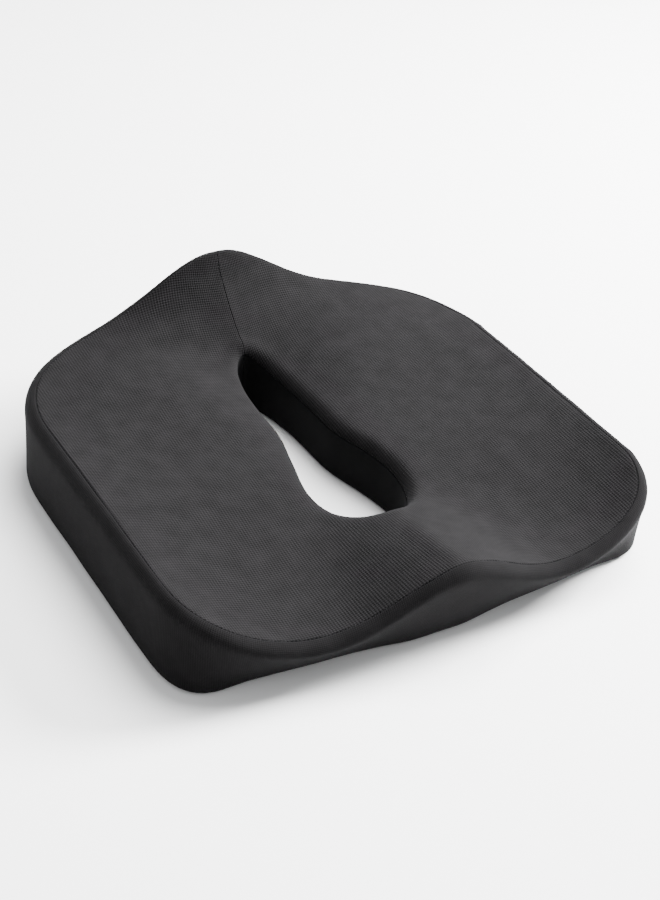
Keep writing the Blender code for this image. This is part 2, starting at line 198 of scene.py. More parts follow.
def wovenTape():
    # polyester twill: fine diagonal lines and a dull sheen
    material, tree, shader = newMaterial("wovenPolyesterTape")
    place = addNode(tree, "TexCoord").outputs["Object"]
    tilt = (math.radians(38), 0, 0)
    turned = addNode(tree, "Mapping", inputs={"Vector": place, "Rotation": tilt})
    lie = {"Vector": turned.outputs[0], "Scale": 380.0}
    twill = addNode(tree, "TexWave", {"bands_direction": "Y"}, lie)
    bump = addNode(tree, "Bump", inputs={
        "Height": twill.outputs["Fac"], "Distance": 0.0001, "Strength": 0.7,
    })
    setShader(tree, shader, {
        "Base Color": mixed(tree, twill.outputs["Fac"], "#080809", "#151516"),
        "Roughness": 0.8,
        "Specular IOR Level": 0.2,
        "Sheen Weight": 0.05,
        "Normal": bump.outputs[0],
    })
    return material


def nylonCoil():
    # extruded nylon monofilament: smooth, with soft highlights on every turn
    material, tree, shader = newMaterial("nylonMonofilament")
    place = addNode(tree, "TexCoord").outputs["Object"]
    wear = addNode(tree, "TexNoise", inputs={"Vector": place, "Scale": 300.0})
    setShader(tree, shader, {
        "Base Color": mixed(tree, wear.outputs[0], "#09090a", "#131314"),
        "Roughness": calc(tree, "MULTIPLY_ADD", wear.outputs[0], 0.2, 0.4),
        "Specular IOR Level": 0.3,
        "IOR": 1.53,
    })
    return material


def enamelledZinc():
    # die-cast zinc under black enamel: an even coat that has rubbed a little duller in patches
    material, tree, shader = newMaterial("blackEnamelledZinc")
    place = addNode(tree, "TexCoord").outputs["Object"]
    rubbed = addNode(tree, "TexNoise", inputs={"Vector": place, "Scale": 420.0, "Detail": 4.0})
    bump = addNode(tree, "Bump", inputs={
        "Height": rubbed.outputs[0], "Distance": 0.00004, "Strength": 0.4,
    })
    roughness = addNode(tree, "MapRange", inputs={
        "Value": rubbed.outputs[0], "To Min": 0.26, "To Max": 0.46,
    })
    setShader(tree, shader, {
        "Base Color": mixed(tree, rubbed.outputs[0], "#0c0c0d", "#171718"),
        "Roughness": roughness.outputs[0],
        "Specular IOR Level": 0.3,
        "Normal": bump.outputs[0],
    })
    return material


def sewingThread():
    # twisted polyester thread: darker than the cloth, ply marks across each stitch
    material, tree, shader = newMaterial("sewingThread")
    place = addNode(tree, "TexCoord").outputs["Object"]
    spot = {"Vector": place, "Scale": 500.0}
    ply = addNode(tree, "TexWave", {"bands_direction": "DIAGONAL"}, spot)
    bump = addNode(tree, "Bump", inputs={
        "Height": ply.outputs["Fac"], "Distance": 0.00008, "Strength": 0.6,
    })
    setShader(tree, shader, {
        "Base Color": mixed(tree, ply.outputs["Fac"], "#060607", "#141416"),
        "Roughness": 0.8,
        "Specular IOR Level": 0.1,
        "Normal": bump.outputs[0],
    })
    return material


def silicone():
    # printed silicone rubber: satin black domes with a skin-soft highlight
    material, tree, shader = newMaterial("siliconeGrip")
    place = addNode(tree, "TexCoord").outputs["Object"]
    dust = addNode(tree, "TexNoise", inputs={"Vector": place, "Scale": 250.0, "Detail": 3.0})
    roughness = addNode(tree, "MapRange", inputs={
        "Value": dust.outputs[0], "To Min": 0.38, "To Max": 0.55,
    })
    setShader(tree, shader, {
        "Base Color": mixed(tree, dust.outputs[0], "#1a1a1b", "#2d2d2f"),
        "Roughness": roughness.outputs[0],
        "IOR": 1.41,
    })
    return material


def studioPaper():
    # matt background paper, very slightly uneven
    material, tree, shader = newMaterial("studioPaper")
    place = addNode(tree, "TexCoord").outputs["Object"]
    tone = addNode(tree, "TexNoise", inputs={"Vector": place, "Scale": 3.0})
    setShader(tree, shader, {
        "Base Color": mixed(tree, tone.outputs[0], "#e4e4e4", "#e8e8e8"),
        "Roughness": 0.9,
    })
    return material


finishes = {
    "topKnit": knitCloth("charcoalPiqueKnit", knit),
    # the band's knit is darkened as painted shade on the walls
    "bandKnitPaintedShade": knitCloth("charcoalKnitPaintedWallShade", bandKnitPaintedShade),
    "liningKnit": knitCloth("blackStretchLining", lining),
    "baseTricot": knitCloth("nonSlipTricot", tricot),
    "foam": memoryFoam(),
    "tape": wovenTape(),
    "nylon": nylonCoil(),
    "zinc": enamelledZinc(),
    "thread": sewingThread(),
    "silicone": silicone(),
    "paper": studioPaper(),
}
print("materials made")


seatForm = {
    "frontHalfWidth": 0.228,
    "rearHalfWidth": 0.2232,
    "depth": 0.3965,  # front edge to rear edge, without the bulges at the middle
    "roundness": (3.35, 5.6),  # front and rear superellipse exponents
    "waist": 0.0096,
    "frontBulge": (0.0074, 0.106),  # how far, how wide
    "rearBow": 0.0060,
    "nose": 0.0050,
    "noseFoot": 0.0097,
    "noseWidth": 0.0565,
    "baseInset": (0.0048, 0.0253),  # front, rear
    "baseInsetCorner": -0.0081,
    # heights at the front edge, the middle and the rear edge
    "centreHeight": (0.1333, 0.0485, 0.0763),
    "lobeHeight": (0.0806, 0.0560, 0.0333),
    "sideHeight": (0.0671, 0.0807, 0.0886),
    "ridgeWidth": (0.0797, 0.0270, 0.0685),
    "rise": (4.8, 1.2),  # how late the hump and the rear ridge rise
    "dish": 3.1,
    "reach": 1.1,
    "holeEnds": (-0.1367, 0.1019),
    "holeHalfWidths": (0.0221, 0.0482),
    "holeNeck": (0.0195, 0.1152),  # place along the hole, length
    "holeRoundness": 2.3,
    "shoulderRadius": 0.0097,
    "rimRadius": 0.0103,
    "baseEdgeRadius": 0.007,
    "tunnelFootRadius": 0.004,
    "cornerEase": (0.0004, 0.0012),  # how softly the flat of the wall ends: zip side, other side
}
halfDepth = seatForm["depth"] / 2


def smooth(share):
    return share * share * (3 - 2 * share)


def blended(values, along):
    end = np.where(along < 0, values[0], values[2])
    return values[1] + (end - values[1]) * smooth(np.minimum(abs(along), 1.0))


def halfWidth(y):
    front, rear = seatForm["frontHalfWidth"], seatForm["rearHalfWidth"]
    return front + (rear - front) * (y / seatForm["depth"] + 0.5)


def topHeight(x, y):
    along = np.clip(y / halfDepth, -seatForm["reach"], seatForm["reach"])
    front, middle, rear = seatForm["centreHeight"]
    rise = np.where(along < 0, *seatForm["rise"])
    centre = middle + (np.where(along < 0, front, rear) - middle) * abs(along) ** rise
    lobe = blended(seatForm["lobeHeight"], along)
    ridge = np.exp(-((x / blended(seatForm["ridgeWidth"], along)) ** 2))
    edge = np.minimum(abs(x) / halfWidth(y), seatForm["reach"]) ** seatForm["dish"]
    return lobe + (centre - lobe) * ridge + (blended(seatForm["sideHeight"], along) - lobe) * edge


def superellipse(angles, roundness):
    cosine, sine = np.cos(angles), np.sin(angles)
    reach = (abs(cosine) ** roundness + abs(sine) ** roundness) ** (-1 / roundness)
    return reach * cosine, reach * sine


def outlinePlan(angles, nose):
    across, along = superellipse(angles, np.where(np.sin(angles) < 0, *seatForm["roundness"]))
    y = along * halfDepth
    x = across * (halfWidth(y) - seatForm["waist"] * (1 - along * along))
    bulge, bulgeWidth = seatForm["frontBulge"]
    front = -bulge * np.exp(-((x / bulgeWidth) ** 2)) * abs(along) ** 3
    rear = seatForm["rearBow"] * (1 - across * across) * along**3
    rear = rear + nose * np.exp(-((x / seatForm["noseWidth"]) ** 2)) * along**3
    ease = np.where(x < 0, *seatForm["cornerEase"])
    held = -ease * np.logaddexp(-abs(x) / ease, -wallX / ease)  # a soft minimum
    return np.stack([np.sign(x) * np.maximum(held, 0.0), y + np.where(along < 0, front, rear)], axis=-1)


def holePlan(angles):
    across, along = superellipse(angles, seatForm["holeRoundness"])
    front, rear = seatForm["holeEnds"]
    narrow, wide = seatForm["holeHalfWidths"]
    neck, neckLength = seatForm["holeNeck"]
    y = (front + rear) / 2 + (rear - front) / 2 * along
    share = smooth(np.clip((y - neck) / neckLength + 0.5, 0.0, 1.0))
    return np.stack([(narrow + (wide - narrow) * share) * across, y], axis=-1)


def planNormals(curve, angles):
    step = 0.002
    ahead = curve(angles + step) - curve(angles - step)
    normals = np.stack([ahead[:, 1], -ahead[:, 0]], axis=-1)
    return normals / np.linalg.norm(normals, axis=-1, keepdims=True)


def lifted(plan, height):
    return np.concatenate([plan, np.broadcast_to(height, plan.shape[:1])[:, None]], axis=-1)


sectionSteps = {
    "foot": 8,
    "tunnel": 16,
    "rim": 12,
    "seat": 90,
    "shoulder": 12,
    "wall": 24,
    "edge": 10,
    "base": 60,
    "easing": 8,  # rounds that soften the joins between the rounded edges and the seat
    "easedFrom": 8,  # rows before the rim
    "easedTo": 12,  # rows before the base
}
seamRows = {}  # where each seam falls among the rows of a section


def sectionLines(angles):
    # every section runs from the tunnel's foot up the tunnel, out over the seat, down the wall
    # and back under
    hole, rim = holePlan(angles), planNormals(holePlan, angles)
    brow = outlinePlan(angles, seatForm["nose"])
    out = planNormals(lambda turn: outlinePlan(turn, seatForm["nose"]), angles)
    foot = outlinePlan(angles, seatForm["noseFoot"])
    lean = planNormals(lambda turn: outlinePlan(turn, seatForm["noseFoot"]), angles)
    insetFront, insetRear = seatForm["baseInset"]
    inset = lean[:, 1] ** 2 * np.where(lean[:, 1] > 0, insetRear, insetFront)
    corner = seatForm["baseInsetCorner"] * (2 * lean[:, 0] * lean[:, 1]) ** 2
    toe = lifted(foot - lean * (inset + np.where(lean[:, 1] > 0, corner, 0.0))[:, None], 0.0)

    footRadius, rimRadius = seatForm["tunnelFootRadius"], seatForm["rimRadius"]
    edgeRadius, shoulder = seatForm["baseEdgeRadius"], seatForm["shoulderRadius"]
    seatStart, seatEnd = hole + rim * rimRadius, brow - out * shoulder
    rimHeight = topHeight(seatStart[:, 0], seatStart[:, 1]) - rimRadius
    seatEndHeight = topHeight(seatEnd[:, 0], seatEnd[:, 1])
    drop = np.minimum(shoulder, seatEndHeight - edgeRadius)
    wallTop = lifted(brow, seatEndHeight - drop)
    footStart = lifted(hole + rim * footRadius, 0.0)

    def unit(vectors):
        return vectors / np.linalg.norm(vectors, axis=-1, keepdims=True)

    edgeStart = toe + unit(wallTop - toe) * edgeRadius
    edgeEnd = toe + unit(footStart - toe) * edgeRadius

    def shares(name):
        return np.linspace(0, 1, sectionSteps[name], endpoint=False)

    rows = []
    for share in shares("foot") * math.pi / 2:
        plan = hole + rim * footRadius * (1 - math.sin(share))
        rows.append(lifted(plan, footRadius * (1 - math.cos(share))))
    for share in shares("tunnel"):
        rows.append(lifted(hole, footRadius + (rimHeight - footRadius) * share))
    seamRows["rim"] = len(rows)
    for share in shares("rim") * math.pi / 2:
        plan = hole + rim * rimRadius * (1 - math.cos(share))
        rows.append(lifted(plan, rimHeight + rimRadius * math.sin(share)))
    for share in shares("seat"):
        plan = seatStart + (seatEnd - seatStart) * share
        rows.append(lifted(plan, topHeight(plan[:, 0], plan[:, 1])))
    seamRows["shoulder"] = len(rows)
    for share in shares("shoulder") * math.pi / 2:
        plan = seatEnd + out * shoulder * math.sin(share)
        rows.append(lifted(plan, seatEndHeight - drop * (1 - math.cos(share))))
    for share in shares("wall"):
        rows.append(wallTop + (edgeStart - wallTop) * share)
    for share in shares("edge") * math.pi / 2:
        down, under = 1 - math.sin(share), 1 - math.cos(share)
        rows.append(toe + (edgeStart - toe) * down + (edgeEnd - toe) * under)
    seamRows["base"] = len(rows)
    for share in shares("base"):
        rows.append(edgeEnd + (footStart - edgeEnd) * share)
    lines = np.stack(rows)
    soft = slice(seamRows["rim"] - sectionSteps["easedFrom"], seamRows["base"] - sectionSteps["easedTo"])
    for _ in range(sectionSteps["easing"]):
        softer = (np.roll(lines, 1, axis=0) + 2 * lines + np.roll(lines, -1, axis=0)) / 4
        lines[soft] = softer[soft]
    return np.concatenate([lines, lines[:1]])


def panelLines(angles, panel):
    lines = sectionLines(angles)
    last = len(lines) - 1
    ends = {
        "lining": (0, seamRows["rim"]),
        "top": (seamRows["rim"], seamRows["shoulder"]),
        "band": (seamRows["shoulder"], seamRows["base"]),
        "base": (seamRows["base"], last),
    }[panel]
    return lines[ends[0]:ends[1] + 1]


def lengths(lines):  # distance along each section from its start
    steps = np.linalg.norm(np.diff(lines, axis=0), axis=-1)
    return np.concatenate([np.zeros_like(steps[:1]), np.cumsum(steps, axis=0)])


def resample(lines, places):  # points at these distances along each section
    run = lengths(lines)
    made = np.empty((*places.shape, 3))
    for column in range(lines.shape[1]):
        for axis in range(3):
            made[:, column, axis] = np.interp(places[:, column], run[:, column], lines[:, column, axis])
    return made


def wallAngle(y):  # the direction in which the outline passes this place of the -X wall
    along = y / halfDepth
    roundness = seatForm["roundness"][0 if along < 0 else 1]
    share = (1 - abs(along) ** roundness) ** (1 / roundness)
    return math.atan2(along, -share) % math.tau


def gridNormals(points, closed):
    if closed:  # the last column repeats the first
        ring = points[:, :-1]
        across = np.roll(ring, -1, axis=1) - np.roll(ring, 1, axis=1)
        across = np.concatenate([across, across[:, :1]], axis=1)
    else:
        across = np.gradient(points, axis=1)
    normals = np.cross(np.gradient(points, axis=0), across)
    return normals / np.linalg.norm(normals, axis=-1, keepdims=True)


def gridMesh(name, points, uvs, closed, closedRows=False):
    # a flat grid wrapped onto the form, the cloth's own coordinates kept as its UV map
    rows, columns = points.shape[:2]
    bm = bmesh.new()
    bmesh.ops.create_grid(bm, x_segments=columns - 1, y_segments=rows - 1, size=1)
    spot = bm.verts.layers.int.new("spot")
    for index, (vert, place) in enumerate(zip(bm.verts, points.reshape(-1, 3))):
        vert.co = place
        vert[spot] = index
    cloth = bm.loops.layers.uv.new("cloth")
    flat = uvs.reshape(-1, 2)
    for face in bm.faces:
        for loop in face.loops:
            loop[cloth].uv = flat[loop.vert[spot]]
    bmesh.ops.reverse_faces(bm, faces=bm.faces)
    if closed or closedRows:
        bmesh.ops.remove_doubles(bm, verts=bm.verts, dist=1e-7)
    return toMesh(bm, name)


def stamp(bm, template, matrix):  # adds a copy of a small shape
    copy = template.copy()
    copy.transform(matrix)
    bm.from_mesh(copy)
    bpy.data.meshes.remove(copy)


def bead(name, segments, rings):
    bm = bmesh.new()
    bmesh.ops.create_uvsphere(bm, u_segments=segments, v_segments=rings, radius=1)
    mesh = bpy.data.meshes.new(name)
    bm.to_mesh(mesh)
    bm.free()
    return mesh


def toMesh(bm, name):
    mesh = bpy.data.meshes.new(name)
    bm.to_mesh(mesh)
    bm.free()
    mesh.shade_smooth()
    return mesh


def addPiece(name, mesh, finish, body="cushion", replaces=()):
    piece = bpy.data.objects.new(name, mesh)
    bpy.context.scene.collection.objects.link(piece)
    mesh.materials.clear()
    mesh.materials.append(finishes[finish])
    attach(piece, body)
    if replaces:
        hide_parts(*replaces)
    return piece


puff = {
    "stations": 240,
    "rows": {"lining": 8, "top": 30, "band": 11, "base": 12},
    "pressure": 4.0,
    "frames": 20,
    "cap": 0.0022,  # the most that the cloth may lift off the foam
    "start": 0.0014,  # the form is drawn in by this much before it fills out
    "startReach": 0.012,  # distance from a seam over which it is drawn in
    "easing": 14,  # rounds that smooth the coarse lift
    "fineEasing": 5,
    "mass": 0.25,
    "stretch": 18,
    "shear": 8,
    "bending": 0.6,
    "slack": 0.002,
    "quality": 6,
    "evenLift": 0.8,  # share of the cap
    "evenShape": 0.4,
}


def eased(values, rounds, closed):
    for _ in range(rounds):
        inner = values.copy()
        inner[1:-1] = (values[:-2] + 2 * values[1:-1] + values[2:]) / 4
        values = inner.copy()
        values[:, 1:-1] = (inner[:, :-2] + 2 * inner[:, 1:-1] + inner[:, 2:]) / 4
        if closed:
            values[:, 0] = values[:, -1] = (inner[:, -2] + 2 * inner[:, 0] + inner[:, 1]) / 4
    return values


def inflate():
    angles = np.linspace(0, math.tau, puff["stations"] + 1)
    grids, seams, count = {}, [], 0
    for panel, rows in puff["rows"].items():
        lines = panelLines(angles, panel)
        places = lengths(lines)[-1] * np.linspace(0, 1, rows + 1)[:, None]
        grids[panel] = resample(lines, places)
        seams.append(count)
        count += rows
    points = np.concatenate([grid[:-1] for grid in grids.values()] + [grids["lining"][:1]])
    moved = np.zeros_like(points)
    mesh = gridMesh("pressed", points, np.zeros((*points.shape[:2], 2)), True, True)
    pressed = bpy.data.objects.new("pressed", mesh)
    bpy.context.scene.collection.objects.link(pressed)
    spots = np.zeros(len(mesh.vertices), int)
    mesh.attributes["spot"].data.foreach_get("value", spots)
    rows = spots // points.shape[1]
    held = pressed.vertex_groups.new(name="seams")
    held.add([int(i) for i in np.flatnonzero(np.isin(rows, seams + [count]))], 1.0, "REPLACE")
    cloth = pressed.modifiers.new("cloth", "CLOTH")
    settings = cloth.settings
    settings.quality = puff["quality"]
    settings.mass = puff["mass"]
    settings.tension_stiffness = settings.compression_stiffness = puff["stretch"]
    settings.shear_stiffness = puff["shear"]
    settings.bending_stiffness = puff["bending"]
    settings.shrink_min = -puff["slack"]
    settings.use_pressure = True
    settings.uniform_pressure_force = puff["pressure"]
    settings.vertex_group_mass = "seams"
    settings.effector_weights.gravity = 0
    scene = bpy.context.scene
    for step in range(1, puff["frames"] + 1):
        scene.frame_set(step)
    shaped = pressed.evaluated_get(bpy.context.evaluated_depsgraph_get()).data
    after = np.zeros(len(shaped.vertices) * 3)
    shaped.vertices.foreach_get("co", after)
    moved.reshape(-1, 3)[spots] = after.reshape(-1, 3) - points.reshape(-1, 3)[spots]
    moved[:, -1] = moved[:, 0]
    moved[-1] = moved[0]
    size = np.linalg.norm(moved, axis=-1, keepdims=True)
    print("cloth moved", round(float(size.max()) * 1000, 1), "mm before its cap")
    moved *= puff["cap"] / np.sqrt(puff["cap"] ** 2 + size**2)
    bpy.data.objects.remove(pressed)
    scene.frame_set(1)
    made, start = {}, 0
    for panel, rows in puff["rows"].items():
        made[panel] = eased(moved[start:start + rows + 1], puff["easing"], True)
        start += rows
    return made


filled = inflate()
print("cloth filled out")


def puffAt(panel, share, angles):
    # the simulated lift of a panel, read at this share of its width and this direction
    coarse = filled[panel]
    place = (angles % math.tau) / math.tau * puff["stations"]
    left = np.floor(place).astype(int)
    weight = (place - left)[None, :, None]
    here, ahead = coarse[:, left % puff["stations"]], coarse[:, (left + 1) % puff["stations"]]
    columns = here * (1 - weight) + ahead * weight
    levels = np.linspace(0, 1, len(coarse))
    made = np.empty((*share.shape, 3))
    for column in range(share.shape[1]):
        for axis in range(3):
            made[:, column, axis] = np.interp(share[:, column], levels, columns[:, column, axis])
    return made


sewing = {
    "clothThickness": 0.0009,
    "seamGap": 0.0003,
    "roll": 0.0009,  # radius over which the cloth turns down into a seam
    # distances of the rows beside a seam
    "graded": (0.0, 0.00012, 0.0003, 0.0006, 0.0010, 0.0015, 0.0023, 0.0036),
    "pucker": 0.00016,
    "puckerPitch": 0.0085,
    "puckerReach": 0.0045,
    "drag": 0.00045,  # longer soft folds that run off a seam
    "dragPitch": 0.030,
    "dragReach": 0.022,
    "gather": 1.6,  # how much tighter the folds are over the hump and the rear ridge
    "gatherWidth": 0.03,
    "crest": 0.0024,
    "crestWidth": 0.011,
    "crestRun": 0.04,  # distance behind the hole in which the crest rises
    "crestReach": 0.008,  # distance from the seam in which it fades
    "fill": 0.9,
    "sway": 0.0005,  # slow unevenness of the whole surface
    "swayPitch": 0.060,
}


def clothNoise(points, pitch, seed):
    flat = points.reshape(-1, 3) / pitch
    shift = Vector((seed * 7.3, seed * 3.1, seed * 5.7))
    return np.array([noise.noise(Vector(point) + shift) for point in flat]).reshape(points.shape[:-1])


def swayAt(points):
    return sewing["sway"] * clothNoise(points, sewing["swayPitch"], 3)


def noseCrest(points):
    # the cloth is drawn up along the ridge between the hole and the rear edge
    share = np.clip((points[..., 1] - seatForm["holeEnds"][1]) / sewing["crestRun"], 0, 1)
    return sewing["crest"] * share * np.exp(-(points[..., 0] / sewing["crestWidth"]) ** 2)


def rollDepth(distance):
    radius = sewing["roll"]
    reach = radius - np.clip(distance, 0, radius)
    return radius - np.sqrt(radius**2 - reach**2)


def gradedAngles(start, end, count):
    # even directions, closer together beside both ends
    def speed(angle):
        ahead = outlinePlan(np.array([angle - 0.001, angle + 0.001]), seatForm["nose"])
        return np.linalg.norm(ahead[1] - ahead[0]) / 0.002

    near = np.array(sewing["graded"]) + sewing["seamGap"] / 2
    first = start + near / speed(start)
    last = end - near / speed(end)
    middle = np.linspace(first[-1], last[-1], count + 2)[1:-1]
    return np.concatenate([first, middle, last[::-1]])


def gradedPlaces(total, count):
    near = (np.array(sewing["graded"]) + sewing["seamGap"] / 2)[:, None]
    middle = np.linspace(0, 1, count + 2)[1:-1, None]
    inner = near[-1] + middle * (total - 2 * near[-1])
    return np.concatenate([near + 0 * total, inner, total - near[::-1]])


def makePanel(name, panel, angles, count, closed, finish, replaces,
              lines=None, planar=False, calm=False):
    # calm: lies on its support, so it neither fills out nor sways
    lines = panelLines(angles, panel) if lines is None else lines
    full = lengths(panelLines(angles, panel))[-1]
    above = full - lengths(lines)[-1] if name == "zipStripLower" else 0.0
    total = lengths(lines)[-1]
    places = gradedPlaces(total, count)
    points = resample(lines, places)
    normals = gridNormals(points, closed)
    fromStart, fromEnd = places, total - places
    seam = np.minimum(fromStart, fromEnd) - sewing["seamGap"] / 2
    if not closed:
        steps = np.linalg.norm(np.diff(points, axis=1), axis=-1)
        run = np.concatenate([np.zeros_like(steps[:, :1]), np.cumsum(steps, axis=1)], axis=1)
        seam = np.minimum(seam, np.minimum(run, run[:, -1:] - run))
    along = lengths(np.swapaxes(points[:1], 0, 1))[:, 0]
    if planar:  # laid flat outwards from the hole, so that slopes do not stretch the pattern
        outwards = points[..., :2] - points[:1, :, :2]
        reach = np.maximum(np.linalg.norm(outwards, axis=-1), 1e-9)
        uvs = points[:1, :, :2] + outwards * (places / reach * (reach > 1e-6))[..., None]
    else:
        uvs = np.stack([np.broadcast_to(along, places.shape), places], axis=-1)
    flatPoints = points
    if not calm:
        lift = eased(puffAt(panel, (places + above) / full, angles), puff["fineEasing"], closed)
        inward = np.minimum((lift * normals).sum(axis=-1, keepdims=True), 0.0)
        lift -= normals * inward  # foam holds the cloth up
        lift -= normals * puff["start"] * (1 - np.exp(-seam / puff["startReach"]))[..., None]
        points = points + lift
    seed = len(name)
    wrinkle = -sewing["pucker"] * (1 + clothNoise(points, sewing["puckerPitch"], seed))
    wrinkle = wrinkle * np.exp(-seam / sewing["puckerReach"])
    gather = 0 if calm else sewing["gather"]
    gathered = 1 + gather * np.exp(-(points[..., 0] / sewing["gatherWidth"]) ** 2)
    drag = sewing["drag"] * gathered * clothNoise(points, sewing["dragPitch"], seed + 1)
    wrinkle += drag * np.exp(-seam / sewing["dragReach"])
    if not calm:
        wrinkle += swayAt(flatPoints)
    if panel == "top":
        wrinkle += noseCrest(flatPoints) * (1 - np.exp(-seam / sewing["crestReach"]))
    points = points + normals * (wrinkle - rollDepth(seam))[..., None]
    mesh = gridMesh(name, points, uvs, closed)
    piece = addPiece(name, mesh, finish, replaces=replaces)
    wall = piece.modifiers.new("thickness", "SOLIDIFY")
    wall.thickness = sewing["clothThickness"]
    wall.offset = -1
    return piece


frontSeam = -math.pi / 2
rearEnd, frontEnd = wallAngle(stripEnds[1]), wallAngle(stripEnds[0])


def sewTop():
    angles = gradedAngles(frontSeam, frontSeam + math.tau, 640)
    makePanel("topPanel", "top", angles, 46, False, "topKnit", ["cover_top_panel"],
              planar=True)


def sewLining():
    angles = gradedAngles(frontSeam, frontSeam + math.tau, 300)
    makePanel("tunnelLining", "lining", angles, 12, False, "liningKnit",
              ["cover_tunnel_lining"])


def sewBand():
    angles = gradedAngles(frontEnd, rearEnd + math.tau, 560)
    makePanel("bandPanel", "band", angles, 30, False, "bandKnitPaintedShade", ["cover_band"])


def sewStrips():
    angles = gradedAngles(rearEnd, frontEnd, 110)
    lines = panelLines(angles, "band")
    run = lengths(lines)
    halves = {}
    for name, height in (("Upper", slitEdges[1]), ("Lower", slitEdges[0])):
        slit = np.array([np.interp(-height, -lines[:, c, 2], run[:, c]) for c in range(lines.shape[1])])
        shares = np.linspace(0, 1, 60)[:, None]
        places = slit * shares if name == "Upper" else slit + (run[-1] - slit) * shares
        halves[name] = resample(lines, places)
    for name, part in halves.items():
        node = "cover_zip_strip_" + name.lower()
        makePanel("zipStrip" + name, "band", angles, 14, False, "bandKnitPaintedShade", [node], part)


def sewBase():
    angles = np.linspace(0, math.tau, 481)
    lines = panelLines(angles, "base")
    lines[..., 2] += baseGrip["dotHeight"]
    makePanel("basePanel", "base", angles, 26, True, "baseTricot", ["cover_base_panel"],
              lines, planar=True, calm=True)


baseGrip = {
    "dotHeight": 0.0006,
    "dotRadius": 0.0014,
    "dotSunk": 0.0001,
    "pitch": 0.0095,
    "margin": 0.012,
    "rows": 26,  # either side of the middle
    "columns": 24,
}


def printDots():
    # silicone dots in staggered rows, clear of the seams
    angles = np.linspace(0, math.tau, 361)
    lines = panelLines(angles, "base")
    outer, inner = lines[0, :, :2], lines[-1, :, :2]

    def reach(loop, x, y):  # how far the loop lies beyond this place, seen from the hole
        middle = sum(seatForm["holeEnds"]) / 2
        around = np.unwrap(np.arctan2(loop[:, 1] - middle, loop[:, 0]))
        turn = math.atan2(y - middle, x)
        while turn < around[0]:
            turn += math.tau
        radius = np.interp(turn, around, np.hypot(loop[:, 0], loop[:, 1] - middle))
        return radius - math.hypot(x, y - middle)

    bm, dot = bmesh.new(), bead("dot", 8, 5)
    pitch, count = baseGrip["pitch"], 0
    for row in range(-baseGrip["rows"], baseGrip["rows"] + 1):
        for column in range(-baseGrip["columns"], baseGrip["columns"] + 1):
            x = (column + (row % 2) / 2) * pitch
            y = row * pitch * math.sqrt(3) / 2
            if reach(outer, x, y) < baseGrip["margin"] or -reach(inner, x, y) < baseGrip["margin"]:
                continue
            radius = baseGrip["dotRadius"]
            place = Matrix.Translation((x, y, baseGrip["dotHeight"] + baseGrip["dotSunk"]))
            stamp(bm, dot, place @ Matrix.Diagonal((radius, radius, baseGrip["dotHeight"], 1)))
            count += 1
    addPiece("gripDots", toMesh(bm, "gripDots"), "silicone")
    print("grip dots", count)


sewTop()
sewLining()
sewBand()
sewStrips()
sewBase()
printDots()
print("cover sewn")


thread = {
    "pitch": 0.0032,
    "length": 0.0026,
    "radius": 0.00024,
    "sunk": 0.0005,
    "topstitch": 0.0028,  # distance from the folded edge
    "allowance": 0.0017,  # half width of the turned-in edges
    "allowanceDepth": 0.0012,
}


def stitchRun(bm, bead, path, normals):
    # one oval bead for each stitch along a path
    steps = np.linalg.norm(np.diff(path, axis=0), axis=-1)
    run = np.concatenate([[0.0], np.cumsum(steps)])
    count = round(run[-1] / thread["pitch"])

    def read(values, place):
        return Vector([np.interp(place, run, values[:, axis]) for axis in range(3)])

    for place in (np.arange(count) + 0.5) * run[-1] / count:
        middle, up = read(path, place), read(normals, place)
        near = thread["pitch"] / 4
        along = (read(path, place + near) - read(path, place - near)).normalized()
        side = along.cross(up).normalized()
        radius = thread["radius"]
        axes = Matrix((along * thread["length"] / 2, side * radius, side.cross(along) * radius))
        stamp(bm, bead, Matrix.Translation(middle) @ axes.transposed().to_4x4())


def layAllowance(name, path, normals,
                 reach=thread["allowance"], depth=thread["allowanceDepth"]):
    # the turned-in edges behind a seam, which keep the foam out of sight
    along = np.gradient(path, axis=0)
    side = np.cross(along, normals)
    side /= np.linalg.norm(side, axis=-1, keepdims=True)
    points = np.stack([path - normals * depth + side * reach * share for share in (-1, 0, 1)])
    uvs = np.stack([points[..., 1], points[..., 2]], axis=-1)
    addPiece(name, gridMesh(name, points, uvs, False), "liningKnit")


def sewSeams():
    bm, stitch = bmesh.new(), bead("stitch", 6, 4)
    angles = np.linspace(0, math.tau, 721)
    for panel in ("top", "band", "base", "lining"):
        lines = panelLines(angles, panel)
        normals = gridNormals(lines, True)
        path = lines[0] + normals[0] * (swayAt(lines[:1])[0] - thread["sunk"])[:, None]
        if panel in ("base", "lining"):
            path[:, 2] = thread["sunk"] + baseGrip["dotHeight"]
        stitchRun(bm, stitch, path, normals[0])
        if panel in ("top", "band"):
            layAllowance(panel + "Allowance", path, normals[0])
    crossings = ((frontSeam, "top"), (frontSeam, "lining"), (rearEnd, "band"), (frontEnd, "band"))
    for angle, panel in crossings:
        lines = panelLines(np.array([angle - 0.002, angle, angle + 0.002]), panel)
        normals = gridNormals(lines, False)
        path = lines[:, 1] + normals[:, 1] * (swayAt(lines[:, 1:2])[:, 0] - thread["sunk"])[:, None]
        stitchRun(bm, stitch, path, normals[:, 1])
        if panel != "lining":
            layAllowance(f"{panel}Allowance{round(math.degrees(angle))}", path, normals[:, 1])
    addPiece("seamThreads", toMesh(bm, "seamThreads"), "thread")


sewSeams()
print("seams stitched")


zipLook = {
    "wire": 0.00030,
    "pitch": 0.00125,
    "turnPoints": 10,
    "headGap": 0.00045,
    "tapeEdge": 0.00018,
    "tapeRipple": 0.00006,
    "rippleTurn": 1400,  # radians per metre
    "guardGap": 0.0006,  # clear of the slider's inner plate
    "guardLap": 0.001,
    "soften": {"stopRear": 0.0005, "stopFront": 0.0006, "slider": 0.00028, "pull": 0.00035},
}


